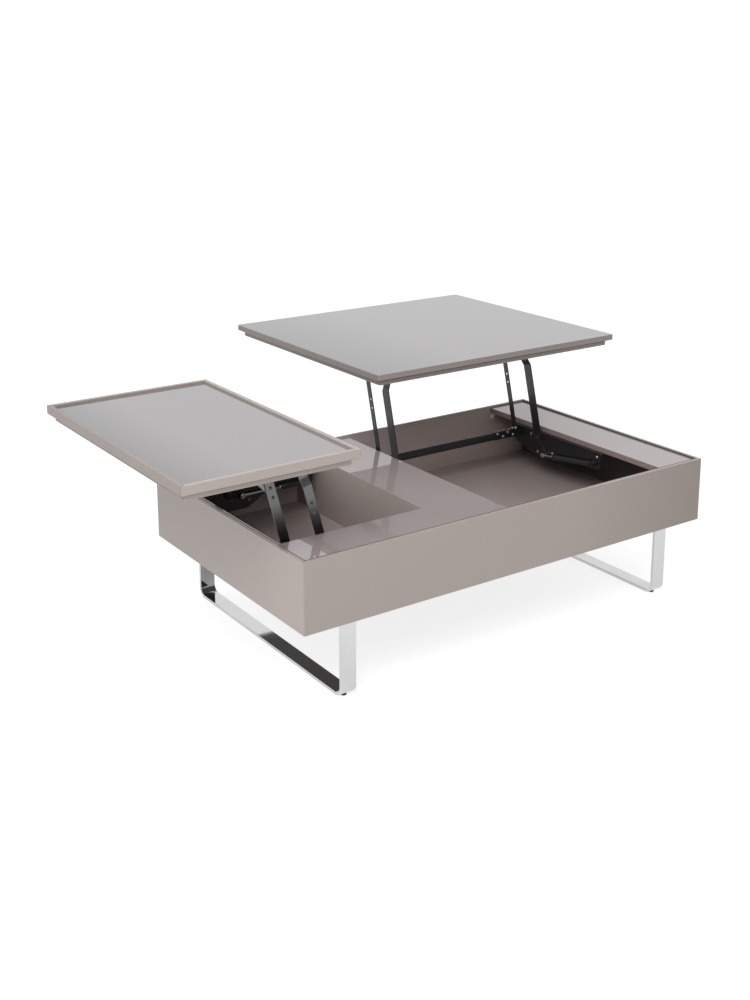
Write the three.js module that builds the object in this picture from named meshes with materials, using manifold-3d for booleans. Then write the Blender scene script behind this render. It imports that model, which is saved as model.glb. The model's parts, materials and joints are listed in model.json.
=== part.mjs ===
// Lift top coffee table: a lacquered box on two chrome sled legs, with two lids that rise on
// parallelogram arms. Millimetres, +Z up. +X runs along the length, +Y from the front to the back. Z = 0
// is the floor and the origin is the floor point under the middle of the box. Both lids are modelled raised.
import * as THREE from 'three';
import { mergeVertices } from 'three/addons/utils/BufferGeometryUtils.js';
import Module from 'manifold-3d';

const wasm = await Module();
wasm.setup();

// ---- driving dimensions ----
const LENGTH = 1300;
const WIDTH = 750;
const BOX_BOTTOM = 200;
const BOX_HEIGHT = 178;
const WALL = 12;
const GAP = 0.3;

const DECK_RECESS = 4;
const DECK_THICKNESS = 16;
const OPENING_LEFT = -629;
const OPENING_RIGHT = -216;
const OPENING_HALF_WIDTH = 237;
const DECK_END = -40;
const LEDGE_START = 503;
const PLATE_SETBACK = 15;
const CLEAT = 20;
const SUPPORT_PANEL = 12;

const LEG_BAR_WIDTH = 43;
const LEG_BAR_THICKNESS = 8;
const LEG_OUTER_X = 540;
const LEG_OUTER_Y = 358;
const LEG_BEND_RADIUS = 27;
const GLIDE_HEIGHT = 4;
const GLIDE_RADIUS = 8;
const GLIDE_INSET = 24;

const LID_SPLIT = -198;
const LID_SPLIT_GAP = 4;
const LID_PANEL = 16;
const LID_RIM_RAISE = 6;
const LID_RIM_WIDTH = 12;
const UNDERPLATE = 16;
const UNDERPLATE_INSET = 14;
const LID_REST_GAP = 1;

const LEAN = 15;
const STEEL = 3;
const STUD_RADIUS = 5;
const STUD_HEAD_RADIUS = 8;
const STOP_RADIUS = 4;
const STOP_ANGLE = 27;
const STOP_GAP = 1;
const RUNNING_CLEARANCE = 0.3;
const FLANGE = 28;
const STRUT_RADIUS = 7.5;
const ROD_RADIUS = 3.5;
const STRUT_EYE_RADIUS = 8;
const BAR_DEPTH = 14;
const BAR_HEIGHT = 22;

// Distances inwards from the edge of the opening, across the thickness of one lift's side.
const MAIN_ARM_LAYER = [1, 4];
const SECOND_ARM_LAYER = [9, 12];
const BRACKET_LAYER = [13, 16];
const STRUT_LAYER = [4.6, 12.4];

// The arms' closed angle is how far they still point upwards when their lid is down. The cheek is how far
// the lid bracket runs on past the second arm, its drop is how far it reaches below that arm's pivot, and
// its toe is where its lowest point stands beside that pivot. The waist is how far the base plate reaches
// below the pivots where it narrows towards the strut's post.
const RIGHT_LIFT = {
  name: 'right_lift',
  sides: ['left', 'right'],
  edges: [DECK_END, LEDGE_START - PLATE_SETBACK],
  flanges: [false, true],
  pivotHeight: 338,
  mainPivot: 116,
  secondPivot: 212,
  armLength: 285,
  closedAngle: 3.5,
  mainWidth: 31,
  secondWidth: 18,
  mainHoles: [],
  secondHoles: [155, 180],
  armHole: 3.3,
  leverRadius: 52,
  leverAngle: 235,
  strutPost: [-124, 326],
  strutBody: 156,
  cheek: 14,
  cheekDrop: 13,
  cheekToe: 6,
  waist: 40,
};
const LEFT_LIFT = {
  name: 'left_lift',
  sides: ['front', 'back'],
  edges: [-OPENING_HALF_WIDTH, OPENING_HALF_WIDTH],
  flanges: [true, true],
  pivotHeight: 332,
  mainPivot: 506,
  secondPivot: 597,
  armLength: 233,
  closedAngle: 5.5,
  mainWidth: 24,
  secondWidth: 24,
  mainHoles: [102, 127],
  secondHoles: [160, 185],
  armHole: 4,
  leverRadius: 39,
  leverAngle: 198,
  strutPost: [264, 322],
  strutBody: 76,
  cheek: 60,
  cheekDrop: 31,
  cheekToe: -2,
  waist: 14,
};

// ---- derived sizes ----
const BOX_TOP = BOX_BOTTOM + BOX_HEIGHT;
const FLOOR_TOP = BOX_BOTTOM + WALL;
const DECK_TOP = BOX_TOP - DECK_RECESS;
const DECK_BOTTOM = DECK_TOP - DECK_THICKNESS;
const HALF_LENGTH = LENGTH / 2;
const HALF_WIDTH = WIDTH / 2;
const INNER_X = HALF_LENGTH - WALL;
const INNER_Y = HALF_WIDTH - WALL;
const LID_CLOSED_BOTTOM = DECK_TOP + LID_REST_GAP;

const radians = THREE.MathUtils.degToRad;
const AXIS_X = new THREE.Vector3(1, 0, 0);
const AXIS_Y = new THREE.Vector3(0, 1, 0);
const AXIS_Z = new THREE.Vector3(0, 0, 1);

// How far a lid's arms carry it from closed to raised: along the lift's own direction, and up.
function lidTravel(lift) {
  return lift.armLength * (Math.cos(radians(lift.closedAngle)) + Math.sin(radians(LEAN)));
}

function lidRise(lift) {
  return lift.armLength * (Math.cos(radians(LEAN)) - Math.sin(radians(lift.closedAngle)));
}

// ---- materials ----
function material(color, roughness, metalness) {
  return () => new THREE.MeshStandardMaterial({ color, roughness, metalness });
}

const lacquer = material(0xaaa098, 0.3, 0);
const glossTop = material(0xb3b0b1, 0.1, 0);
const glossDeck = material(0x9b9394, 0.08, 0);
const interior = material(0x7c706c, 0.45, 0);
const chrome = material(0xd8dadc, 0.08, 1);
const blackSteel = material(0x242527, 0.4, 0.6);
const rubber = material(0x1c1c1c, 0.8, 0);
const timber = material(0x9a8f86, 0.6, 0);
const plastic = material(0xcbbfae, 0.5, 0);

// ---- solid helpers ----
function toManifold(geometry) {
  const bare = geometry.index ? geometry.toNonIndexed() : geometry.clone();
  bare.deleteAttribute('normal');
  bare.deleteAttribute('uv');
  const merged = mergeVertices(bare, 1e-4);
  const vertProperties = new Float32Array(merged.attributes.position.array);
  const triVerts = new Uint32Array(merged.index.array);
  return new wasm.Manifold(new wasm.Mesh({ numProp: 3, vertProperties, triVerts }));
}

function toGeometry(manifold) {
  const mesh = manifold.getMesh();
  const geometry = new THREE.BufferGeometry();
  geometry.setAttribute('position', new THREE.BufferAttribute(mesh.vertProperties, 3));
  geometry.setIndex(new THREE.BufferAttribute(mesh.triVerts, 1));
  geometry.computeVertexNormals();
  return geometry;
}

function join(...geometries) {
  const solids = geometries.map(toManifold);
  return toGeometry(solids.reduce((whole, piece) => whole.add(piece)));
}

function cut(geometry, ...tools) {
  const solid = toManifold(geometry);
  return toGeometry(tools.map(toManifold).reduce((whole, tool) => whole.subtract(tool), solid));
}

function common(first, second) {
  return toGeometry(toManifold(first).intersect(toManifold(second)));
}

// A box between two corners.
function block(x0, x1, y0, y1, z0, z1) {
  const geometry = new THREE.BoxGeometry(x1 - x0, y1 - y0, z1 - z0);
  return geometry.translate((x0 + x1) / 2, (y0 + y1) / 2, (z0 + z1) / 2);
}

function outline(points) {
  return new THREE.Shape(points.map(([x, y]) => new THREE.Vector2(x, y)));
}

// A flat plate: a shape in the XY plane, extruded from z0 to z1.
function plate(shape, z0, z1, curveSegments = 8) {
  const settings = { depth: z1 - z0, bevelEnabled: false, curveSegments, steps: 1 };
  return new THREE.ExtrudeGeometry(shape, settings).translate(0, 0, z0);
}

// A round stud along Z.
function stud(x, y, radius, z0, z1, segments = 16) {
  const geometry = new THREE.CylinderGeometry(radius, radius, z1 - z0, segments);
  return geometry.rotateX(Math.PI / 2).translate(x, y, (z0 + z1) / 2);
}

const table = new THREE.Group();

function addNode(parent, name, geometry, makeMaterial) {
  const mesh = new THREE.Mesh(geometry, makeMaterial());
  mesh.name = name;
  parent.add(mesh);
  return mesh;
}

// ---- box ----
// The four outer panels meet in mitres. Each is drawn in plan, long edge outside.
function mitredPanel(halfLength, thickness) {
  const trim = GAP / 2;
  const corners = [
    [-halfLength + trim, 0],
    [halfLength - trim, 0],
    [halfLength - thickness - trim, thickness],
    [-halfLength + thickness + trim, thickness],
  ];
  return plate(outline(corners), 0, BOX_HEIGHT);
}

function addOuterPanels() {
  const panels = [
    ['front_panel', HALF_LENGTH, 0, -HALF_WIDTH, 0],
    ['right_end_panel', HALF_WIDTH, HALF_LENGTH, 0, 90],
    ['back_panel', HALF_LENGTH, 0, HALF_WIDTH, 180],
    ['left_end_panel', HALF_WIDTH, -HALF_LENGTH, 0, 270],
  ];
  for (const [name, halfLength, x, y, turn] of panels) {
    const panel = addNode(table, name, mitredPanel(halfLength, WALL), lacquer);
    panel.rotation.z = radians(turn);
    panel.position.set(x, y, BOX_BOTTOM);
  }
}

function addInnerPanels() {
  const y = INNER_Y - GAP;
  const x = INNER_X - GAP;
  addNode(table, 'bottom_panel', block(-x, x, -y, y, BOX_BOTTOM, FLOOR_TOP), interior);
  const low = FLOOR_TOP + GAP;
  const high = DECK_BOTTOM - GAP;
  const divider = block(OPENING_RIGHT, OPENING_RIGHT + SUPPORT_PANEL, -y, y, low, high);
  addNode(table, 'divider_panel', divider, interior);
  const supportRight = DECK_END - STEEL - GAP;
  const support = block(supportRight - SUPPORT_PANEL, supportRight, -y, y, low, high);
  addNode(table, 'middle_support_panel', support, interior);
}

// The deck covers the left part of the box round an opening, and the ledge covers its right end.
function addDeck() {
  const x = INNER_X - GAP;
  const y = INNER_Y - GAP;
  const board = outline([[-x, -y], [DECK_END, -y], [DECK_END, y], [-x, y]]);
  const w = OPENING_HALF_WIDTH;
  const corners = [[OPENING_LEFT, -w], [OPENING_LEFT, w], [OPENING_RIGHT, w], [OPENING_RIGHT, -w]];
  board.holes.push(new THREE.Path(corners.map(([px, py]) => new THREE.Vector2(px, py))));
  addNode(table, 'deck_board', plate(board, DECK_BOTTOM, DECK_TOP), glossDeck);
  addNode(table, 'right_ledge_board', block(LEDGE_START, x, -y, y, DECK_BOTTOM, DECK_TOP), glossDeck);

  const top = DECK_BOTTOM - GAP;
  const low = top - CLEAT;
  const left = -x + CLEAT + GAP;
  const right = OPENING_RIGHT - GAP;
  addNode(table, 'deck_cleat_front', block(left, right, -y, -y + CLEAT, low, top), timber);
  addNode(table, 'deck_cleat_back', block(left, right, y - CLEAT, y, low, top), timber);
  const leftCleat = block(-x, OPENING_LEFT - GAP, -y, y, low, top);
  addNode(table, 'deck_cleat_left', leftCleat, timber);
  addNode(table, 'ledge_cleat_right', block(x - CLEAT, x, -y, y, low, top), timber);
}

// Small moulded angle brackets hold the ledge's free edge to the front and back panels.
function addLedgeBrackets() {
  const start = LEDGE_START + 1;
  const width = 16;
  const leg = 18;
  const thickness = 3.5;
  const top = DECK_BOTTOM - GAP;
  const y = INNER_Y - GAP;
  for (const [name, side] of [['ledge_bracket_front', -1], ['ledge_bracket_back', 1]]) {
    const corner = side * y;
    const profile = outline([
      [0, 0], [leg, 0], [leg, -thickness], [thickness + 4, -thickness],
      [thickness, -thickness - 4], [thickness, -leg], [0, -leg],
    ]);
    const angle = plate(profile, 0, width);
    // Profile x runs inwards from the panel, profile y is up.
    const inwards = AXIS_Y.clone().multiplyScalar(-side);
    const along = AXIS_X.clone().multiplyScalar(-side);
    angle.applyMatrix4(new THREE.Matrix4().makeBasis(inwards, AXIS_Z, along));
    const shift = side > 0 ? width : 0;
    angle.translate(start + shift, corner, top);
    addNode(table, name, angle, plastic);
  }
}

// ---- legs ----
// Each leg is one flat bar bent into a loop, square at the top and rounded at the floor.
function legLoop(halfWidth, low, high, radius) {
  const shape = new THREE.Shape();
  shape.moveTo(-halfWidth, high);
  shape.lineTo(-halfWidth, low + radius);
  shape.absarc(-halfWidth + radius, low + radius, radius, Math.PI, 1.5 * Math.PI, false);
  shape.lineTo(halfWidth - radius, low);
  shape.absarc(halfWidth - radius, low + radius, radius, 1.5 * Math.PI, 2 * Math.PI, false);
  shape.lineTo(halfWidth, high);
  shape.closePath();
  return shape;
}

function addLegs() {
  const high = BOX_BOTTOM - GAP;
  const shape = legLoop(LEG_OUTER_Y, GLIDE_HEIGHT, high, LEG_BEND_RADIUS);
  const t = LEG_BAR_THICKNESS;
  shape.holes.push(legLoop(LEG_OUTER_Y - t, GLIDE_HEIGHT + t, high - t, LEG_BEND_RADIUS - t));
  for (const [name, side] of [['left_leg', -1], ['right_leg', 1]]) {
    const inner = side > 0 ? LEG_OUTER_X - LEG_BAR_WIDTH : -LEG_OUTER_X;
    const loop = plate(shape, 0, LEG_BAR_WIDTH, 8);
    const leg = addNode(table, name, loop, chrome);
    // Shape x runs along Y, shape y is up, and the bar's width runs along X.
    leg.setRotationFromMatrix(new THREE.Matrix4().makeBasis(AXIS_Y, AXIS_Z, AXIS_X));
    leg.position.set(inner, 0, 0);
    for (const [end, sign] of [['front', -1], ['back', 1]]) {
      const glide = stud(0, 0, GLIDE_RADIUS, 0, GLIDE_HEIGHT - GAP, 20);
      const foot = addNode(table, `${name}_glide_${end}`, glide, rubber);
      foot.position.set(inner + LEG_BAR_WIDTH / 2, sign * (LEG_OUTER_Y - GLIDE_INSET), 0);
    }
  }
}

// ---- lids ----
function addLids() {
  const leftEdge = LID_SPLIT - LID_SPLIT_GAP / 2;
  const rightEdge = LID_SPLIT + LID_SPLIT_GAP / 2;
  const panelLow = LID_CLOSED_BOTTOM + UNDERPLATE + GAP;
  const panelHigh = panelLow + LID_PANEL;

  const left = new THREE.Group();
  left.position.set(-lidTravel(LEFT_LIFT), 0, lidRise(LEFT_LIFT));
  table.add(left);
  const rim = outline([
    [-HALF_LENGTH, -HALF_WIDTH], [leftEdge, -HALF_WIDTH], [leftEdge, HALF_WIDTH], [-HALF_LENGTH, HALF_WIDTH],
  ]);
  const x0 = -HALF_LENGTH + LID_RIM_WIDTH;
  const x1 = leftEdge - LID_RIM_WIDTH;
  const y1 = HALF_WIDTH - LID_RIM_WIDTH;
  const corners = [[x0, -y1], [x0, y1], [x1, y1], [x1, -y1]];
  rim.holes.push(new THREE.Path(corners.map(([x, y]) => new THREE.Vector2(x, y))));
  addNode(left, 'left_lid_rim', plate(rim, panelLow, panelHigh + LID_RIM_RAISE), lacquer);
  const leftPanel = block(x0 + GAP, x1 - GAP, -y1 + GAP, y1 - GAP, panelLow, panelHigh);
  addNode(left, 'left_lid_panel', leftPanel, glossTop);

  const right = new THREE.Group();
  right.position.set(0, lidTravel(RIGHT_LIFT), lidRise(RIGHT_LIFT));
  table.add(right);
  const rightPanel = block(rightEdge, HALF_LENGTH, -HALF_WIDTH, HALF_WIDTH, panelLow, panelHigh);
  addNode(right, 'right_lid_panel', rightPanel, glossTop);

  const plates = [
    [left, 'left_lid_underplate', -HALF_LENGTH, leftEdge],
    [right, 'right_lid_underplate', rightEdge, HALF_LENGTH],
  ];
  for (const [lid, name, low, high] of plates) {
    const inset = UNDERPLATE_INSET;
    const y = HALF_WIDTH - inset;
    const bottom = LID_CLOSED_BOTTOM;
    addNode(lid, name, block(low + inset, high - inset, -y, y, bottom, bottom + UNDERPLATE), lacquer);
  }
}

// ---- lifts ----
// A lift is drawn in its own frame: x along the lid's travel, y up, z across the opening. Each side is
// built inwards from its edge of the opening, and inward is +1 or -1 along z.
function layered(edge, inward, low, high) {
  const ends = [edge + inward * low, edge + inward * high];
  return [Math.min(...ends), Math.max(...ends)];
}

function onLever(lift, radius, angle) {
  const turn = radians(angle);
  return [lift.mainPivot + radius * Math.cos(turn), lift.pivotHeight + radius * Math.sin(turn)];
}

function basePlate(lift, edge, inward, hasFlange) {
  const across = (low, high) => layered(edge, inward, low, high);
  const [postX, postY] = lift.strutPost;
  const top = DECK_BOTTOM - GAP;
  const web = outline([
    [postX - 22, top],
    [postX - 22, postY - 14],
    [lift.mainPivot - 120, lift.pivotHeight - lift.waist],
    [lift.mainPivot - 60, lift.pivotHeight - 52],
    [lift.mainPivot + 22, lift.pivotHeight - 52],
    [lift.secondPivot + 22, lift.pivotHeight - 22],
    [lift.secondPivot + 22, top],
  ]);
  const y = lift.pivotHeight;
  // The stop stands just clear of the main arm's long edge when the lid is raised.
  const stopReach = (lift.mainWidth / 2 + STOP_GAP + STOP_RADIUS) / Math.sin(radians(90 - LEAN - STOP_ANGLE));
  const stop = onLever(lift, stopReach, STOP_ANGLE);
  const pieces = [
    plate(web, ...across(-STEEL, 0)),
    stud(lift.mainPivot, y, STUD_RADIUS, ...across(-1, 5)),
    stud(lift.mainPivot, y, STUD_HEAD_RADIUS, ...across(4.6, 7)),
    stud(lift.secondPivot, y, STUD_HEAD_RADIUS, ...across(-1, SECOND_ARM_LAYER[0] - 0.4)),
    stud(lift.secondPivot, y, STUD_RADIUS, ...across(0, SECOND_ARM_LAYER[1] - 0.4)),
    stud(postX, postY, 6.5, ...across(-1, STRUT_LAYER[0] - 0.4)),
    stud(postX, postY, 4, ...across(0, STRUT_LAYER[1] + 1)),
    stud(postX, postY, 6.5, ...across(STRUT_LAYER[1] + 0.4, STRUT_LAYER[1] + 2.6)),
    stud(...stop, STOP_RADIUS, ...across(-1, 5)),
  ];
  if (hasFlange) {
    const [z0, z1] = across(-FLANGE, 0);
    pieces.push(block(postX - 22, lift.secondPivot + 22, top - STEEL, top, z0, z1));
  }
  return join(...pieces);
}

// A flat strip with round ends, from (0, 0) up to (0, length).
function stripShape(length, width) {
  const r = width / 2;
  const shape = new THREE.Shape();
  shape.absarc(0, 0, r, Math.PI, 2 * Math.PI, false);
  shape.absarc(0, length, r, 0, Math.PI, false);
  shape.closePath();
  return shape;
}

function holeTools(places, radius, z0, z1) {
  return places.map(([x, y]) => stud(x, y, radius, z0 - 5, z1 + 5));
}

// The main arm is flat beside the base plate and steps inwards near its top. It carries a short lever
// below its pivot, which the strut pulls on.
function mainArm(lift, edge, inward) {
  const across = (low, high) => layered(edge, inward, low, high);
  const [low0, low1] = MAIN_ARM_LAYER;
  const [high0, high1] = SECOND_ARM_LAYER;
  const length = lift.armLength;
  const stepLow = length - 62;
  const stepHigh = length - 38;
  const at = (distance) => edge + inward * distance;
  // Side profile in (z, y): down the outer face and back up the inner one.
  const profile = outline([
    [at(low0), -20], [at(low1), -20], [at(low1), stepLow], [at(high1), stepHigh], [at(high1), length + 20],
    [at(high0), length + 20], [at(high0), stepHigh + 2], [at(low0), stepLow + 2],
  ]);
  const wide = plate(profile, -40, 40);
  // Turn the profile's x to z and its thickness to x.
  wide.applyMatrix4(new THREE.Matrix4().makeBasis(AXIS_Z, AXIS_Y, AXIS_X.clone().negate()));
  const [z0, z1] = across(low0 - 1, high1 + 1);
  const strip = common(wide, plate(stripShape(length, lift.mainWidth), z0, z1));
  const leverTurn = radians(lift.leverAngle + LEAN);
  const lever = plate(stripShape(lift.leverRadius, 20), ...across(low0, low1));
  lever.rotateZ(leverTurn - Math.PI / 2);
  const hub = stud(0, 0, 15, ...across(low0, low1), 24);
  const hole = STUD_RADIUS + RUNNING_CLEARANCE;
  const tools = [
    ...holeTools([[0, 0], [0, length]], hole, z0, z1),
    ...holeTools(lift.mainHoles.map((y) => [0, y]), lift.armHole, z0, z1),
  ];
  return cut(join(strip, lever, hub), ...tools);
}

function secondArm(lift, edge, inward) {
  const [z0, z1] = layered(edge, inward, ...SECOND_ARM_LAYER);
  const hole = STUD_RADIUS + RUNNING_CLEARANCE;
  const strip = plate(stripShape(lift.armLength, lift.secondWidth), z0, z1);
  const tools = [
    ...holeTools([[0, 0], [0, lift.armLength]], hole, z0, z1),
    ...holeTools(lift.secondHoles.map((y) => [0, y]), lift.armHole, z0, z1),
  ];
  return cut(strip, ...tools);
}

// The lid bracket is an angle: a cheek with the arms' two upper pivots, and a flange under the lid.
// It is drawn from the main arm's upper pivot.
function lidBracket(lift, edge, inward) {
  const across = (low, high) => layered(edge, inward, low, high);
  const span = lift.secondPivot - lift.mainPivot;
  const raisedPivot = lift.pivotHeight + lift.armLength * Math.cos(radians(LEAN));
  const top = LID_CLOSED_BOTTOM + lidRise(lift) - GAP - raisedPivot;
  const foot = -lift.cheekDrop;
  const cheek = outline([
    [-16, top], [-13, -6], [-6, -13], [6, -13], [15, -4], [span - 15, -4], [span - 8, foot],
    [span + lift.cheekToe, foot], [span + 14 + lift.cheek, top],
  ]);
  const [low, high] = BRACKET_LAYER;
  const pieces = [
    plate(cheek, ...across(low, high)),
    block(-16, span + 14 + lift.cheek, top - STEEL, top, ...across(low, high + FLANGE)),
  ];
  const armFace = SECOND_ARM_LAYER[0];
  for (const x of [0, span]) {
    pieces.push(stud(x, 0, STUD_RADIUS, ...across(armFace - 2, low + 1)));
    pieces.push(stud(x, 0, STUD_HEAD_RADIUS, ...across(armFace - 2.8, armFace - 0.4)));
  }
  return join(...pieces);
}

// The strut lies along +x from its post: a hollow body with an eye, and a rod that slides out of it.
function strutBody(lift, edge, inward) {
  const [z0, z1] = layered(edge, inward, ...STRUT_LAYER);
  const middle = (z0 + z1) / 2;
  const start = 12;
  const end = start + lift.strutBody;
  const bore = ROD_RADIUS + RUNNING_CLEARANCE;
  const profile = [
    [0, start], [STRUT_RADIUS, start], [STRUT_RADIUS, end - 3], [STRUT_RADIUS - 2, end],
    [bore, end], [bore, start + 12], [0, start + 12],
  ].map(([r, y]) => new THREE.Vector2(r, y));
  const tube = new THREE.LatheGeometry(profile, 20).rotateZ(-Math.PI / 2).translate(0, 0, middle);
  const tab = block(0, start + 4, -5, 5, z0 + 1, z1 - 1);
  const eye = stud(0, 0, STRUT_EYE_RADIUS, z0, z1);
  return cut(join(tube, tab, eye), ...holeTools([[0, 0]], 4 + RUNNING_CLEARANCE, z0, z1));
}

function strutRod(lift, edge, inward, length) {
  const [z0, z1] = layered(edge, inward, ...STRUT_LAYER);
  const start = 12 + 14;
  const rod = new THREE.CylinderGeometry(ROD_RADIUS, ROD_RADIUS, length - start, 16);
  rod.rotateZ(Math.PI / 2).translate((length + start) / 2, 0, (z0 + z1) / 2);
  const eye = stud(length, 0, STRUT_EYE_RADIUS, z0, z1);
  const bolt = stud(length, 0, 5, ...layered(edge, inward, STRUT_LAYER[1] - 1, STRUT_LAYER[1] + 2.5), 6);
  return join(rod, eye, bolt);
}

function addLift(lift, frame) {
  frame.matrixAutoUpdate = false;
  table.add(frame);
  const lean = -radians(LEAN);
  const [leverX, leverY] = onLever(lift, lift.leverRadius, lift.leverAngle);
  const [postX, postY] = lift.strutPost;
  const strutLength = Math.hypot(leverX - postX, leverY - postY);
  const strutTurn = Math.atan2(leverY - postY, leverX - postX);
  const raisedX = lift.mainPivot + lift.armLength * Math.sin(radians(LEAN));
  const raisedY = lift.pivotHeight + lift.armLength * Math.cos(radians(LEAN));
  const place = (name, geometry, makeMaterial, x, y, turn) => {
    const mesh = addNode(frame, `${lift.name}_${name}`, geometry, makeMaterial);
    mesh.position.set(x, y, 0);
    mesh.rotation.z = turn;
  };
  const { mainPivot, secondPivot, pivotHeight } = lift;
  lift.sides.forEach((side, index) => {
    const edge = lift.edges[index];
    const inward = index === 0 ? 1 : -1;
    place(`base_plate_${side}`, basePlate(lift, edge, inward, lift.flanges[index]), blackSteel, 0, 0, 0);
    place(`main_arm_${side}`, mainArm(lift, edge, inward), blackSteel, mainPivot, pivotHeight, lean);
    place(`second_arm_${side}`, secondArm(lift, edge, inward), blackSteel, secondPivot, pivotHeight, lean);
    place(`lid_bracket_${side}`, lidBracket(lift, edge, inward), blackSteel, raisedX, raisedY, 0);
    place(`strut_body_${side}`, strutBody(lift, edge, inward), blackSteel, postX, postY, strutTurn);
    place(`strut_rod_${side}`, strutRod(lift, edge, inward, strutLength), chrome, postX, postY, strutTurn);
  });
  const barStart = lift.edges[0] + SECOND_ARM_LAYER[1] + GAP;
  const barEnd = lift.edges[1] - SECOND_ARM_LAYER[1] - GAP;
  const bar = block(-BAR_DEPTH / 2, BAR_DEPTH / 2, -BAR_HEIGHT / 2, BAR_HEIGHT / 2, barStart, barEnd);
  place('cross_bar', bar, blackSteel, secondPivot, pivotHeight, lean);
}

function liftFrame(travel, across) {
  const frame = new THREE.Group();
  frame.matrix.makeBasis(travel, AXIS_Z, across);
  return frame;
}

addOuterPanels();
addInnerPanels();
addDeck();
addLedgeBrackets();
addLegs();
addLids();
// The right lid travels towards the back, the left lid towards the left end.
addLift(RIGHT_LIFT, liftFrame(AXIS_Y, AXIS_X));
addLift(LEFT_LIFT, liftFrame(AXIS_X.clone().negate(), AXIS_Y));

export default table;
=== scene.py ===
import json
import math

import bmesh
import bpy
from mathutils import Matrix, Vector


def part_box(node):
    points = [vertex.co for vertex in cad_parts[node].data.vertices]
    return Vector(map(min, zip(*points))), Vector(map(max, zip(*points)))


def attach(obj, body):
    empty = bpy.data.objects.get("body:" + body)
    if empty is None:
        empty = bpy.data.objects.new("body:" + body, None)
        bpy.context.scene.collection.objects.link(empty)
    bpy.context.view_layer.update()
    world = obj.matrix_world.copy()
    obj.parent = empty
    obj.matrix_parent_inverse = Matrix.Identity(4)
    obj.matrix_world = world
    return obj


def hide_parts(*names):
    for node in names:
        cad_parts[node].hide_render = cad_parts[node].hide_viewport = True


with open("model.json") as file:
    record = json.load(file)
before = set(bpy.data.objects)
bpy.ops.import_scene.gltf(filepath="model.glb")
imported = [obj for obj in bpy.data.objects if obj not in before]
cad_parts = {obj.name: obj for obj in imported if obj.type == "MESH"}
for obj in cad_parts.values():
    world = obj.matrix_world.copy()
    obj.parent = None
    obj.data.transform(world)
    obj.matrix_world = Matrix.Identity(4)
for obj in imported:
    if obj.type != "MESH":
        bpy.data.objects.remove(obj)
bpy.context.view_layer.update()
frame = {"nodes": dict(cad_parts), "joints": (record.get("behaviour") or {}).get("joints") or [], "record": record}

MM = 0.001
JOINTS = {joint["name"]: joint for joint in frame["joints"]}


def box_mm(node):
    low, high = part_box(node)
    return low / MM, high / MM


# ---- camera, light and floor, in metres and degrees, with the lens in millimetres ----
CAMERA_PLACE = (-2.0657, -2.6919, 1.5171)
CAMERA_YAW = 34.8
CAMERA_PITCH = 13.5
CAMERA_LENS = 46.93
CAMERA_SENSOR = 36
CAMERA_SHIFT = -0.15
FAR_CLIP = 200
WALL_DIRECTION = (-0.1, 0.97, 0.2)
WALL_STRENGTH = 1.1
WALL_EDGES = (-0.5, 0.35)
ROOM_STRENGTH = 0.34
LIGHT_TARGET = (0, 0, 0.3)
FLOOR_RADIUS = 40


def add_camera():
    data = bpy.data.cameras.new("camera")
    data.lens = CAMERA_LENS
    data.sensor_width = CAMERA_SENSOR
    data.shift_y = CAMERA_SHIFT
    data.clip_end = FAR_CLIP
    camera = bpy.data.objects.new("camera", data)
    camera.location = CAMERA_PLACE
    camera.rotation_euler = (math.radians(90 - CAMERA_PITCH), 0, math.radians(-CAMERA_YAW))
    bpy.context.scene.collection.objects.link(camera)
    bpy.context.scene.camera = camera


def add_area_light(name, place, size, power, color):
    data = bpy.data.lights.new(name, "AREA")
    data.shape = "RECTANGLE"
    data.size, data.size_y = size
    data.energy = power
    data.color = color
    light = bpy.data.objects.new(name, data)
    light.location = place
    light.rotation_euler = (Vector(LIGHT_TARGET) - Vector(place)).to_track_quat("-Z", "Y").to_euler()
    bpy.context.scene.collection.objects.link(light)


def add_world():
    """A soft studio: a bright wall behind the object, and a dimmer room on the other side."""
    world = bpy.data.worlds.new("studio")
    world.use_nodes = True
    nodes, links = world.node_tree.nodes, world.node_tree.links
    background = nodes["Background"]
    direction = nodes.new("ShaderNodeTexCoord").outputs["Generated"]
    towards_wall = nodes.new("ShaderNodeVectorMath")
    towards_wall.operation = "DOT_PRODUCT"
    towards_wall.inputs[1].default_value = WALL_DIRECTION
    links.new(direction, towards_wall.inputs[0])
    strength = nodes.new("ShaderNodeMapRange")
    strength.interpolation_type = "SMOOTHSTEP"
    strength.inputs["From Min"].default_value, strength.inputs["From Max"].default_value = WALL_EDGES
    strength.inputs["To Min"].default_value = ROOM_STRENGTH
    strength.inputs["To Max"].default_value = WALL_STRENGTH
    links.new(towards_wall.outputs["Value"], strength.inputs["Value"])
    links.new(strength.outputs["Result"], background.inputs["Strength"])
    background.inputs["Color"].default_value = (1, 1, 1, 1)
    bpy.context.scene.world = world
    bpy.context.scene.view_settings.view_transform = "Standard"


def add_studio():
    add_camera()
    add_world()
    add_area_light("key", place=(-2.2, -1.9, 3.1), size=(1.7, 1.7), power=92, color=(1, 0.98, 0.96))
    add_area_light("front", place=(-0.9, -2.6, 2.2), size=(1.8, 1.2), power=14, color=(1, 0.98, 0.97))
    add_floor()


def add_floor():
    bpy.ops.mesh.primitive_circle_add(
        vertices=128, radius=FLOOR_RADIUS, fill_type="NGON", location=(0, 0, 0))
    floor = bpy.context.object
    floor.name = "floor"
    floor.data.materials.append(floor_surface("floor"))


# ---- materials ----
def tone(*screen):
    """A red, green and blue of 0 to 255, as they look on a screen, brought to linear light."""
    shares = [level / 255 for level in screen]
    linear = [((share + 0.055) / 1.055) ** 2.4 if share > 0.04045 else share / 12.92 for share in shares]
    return (*linear, 1)


# A noise texture stays mostly between these two values.
NOISE_LOW = 0.3
NOISE_HIGH = 0.7
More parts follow.
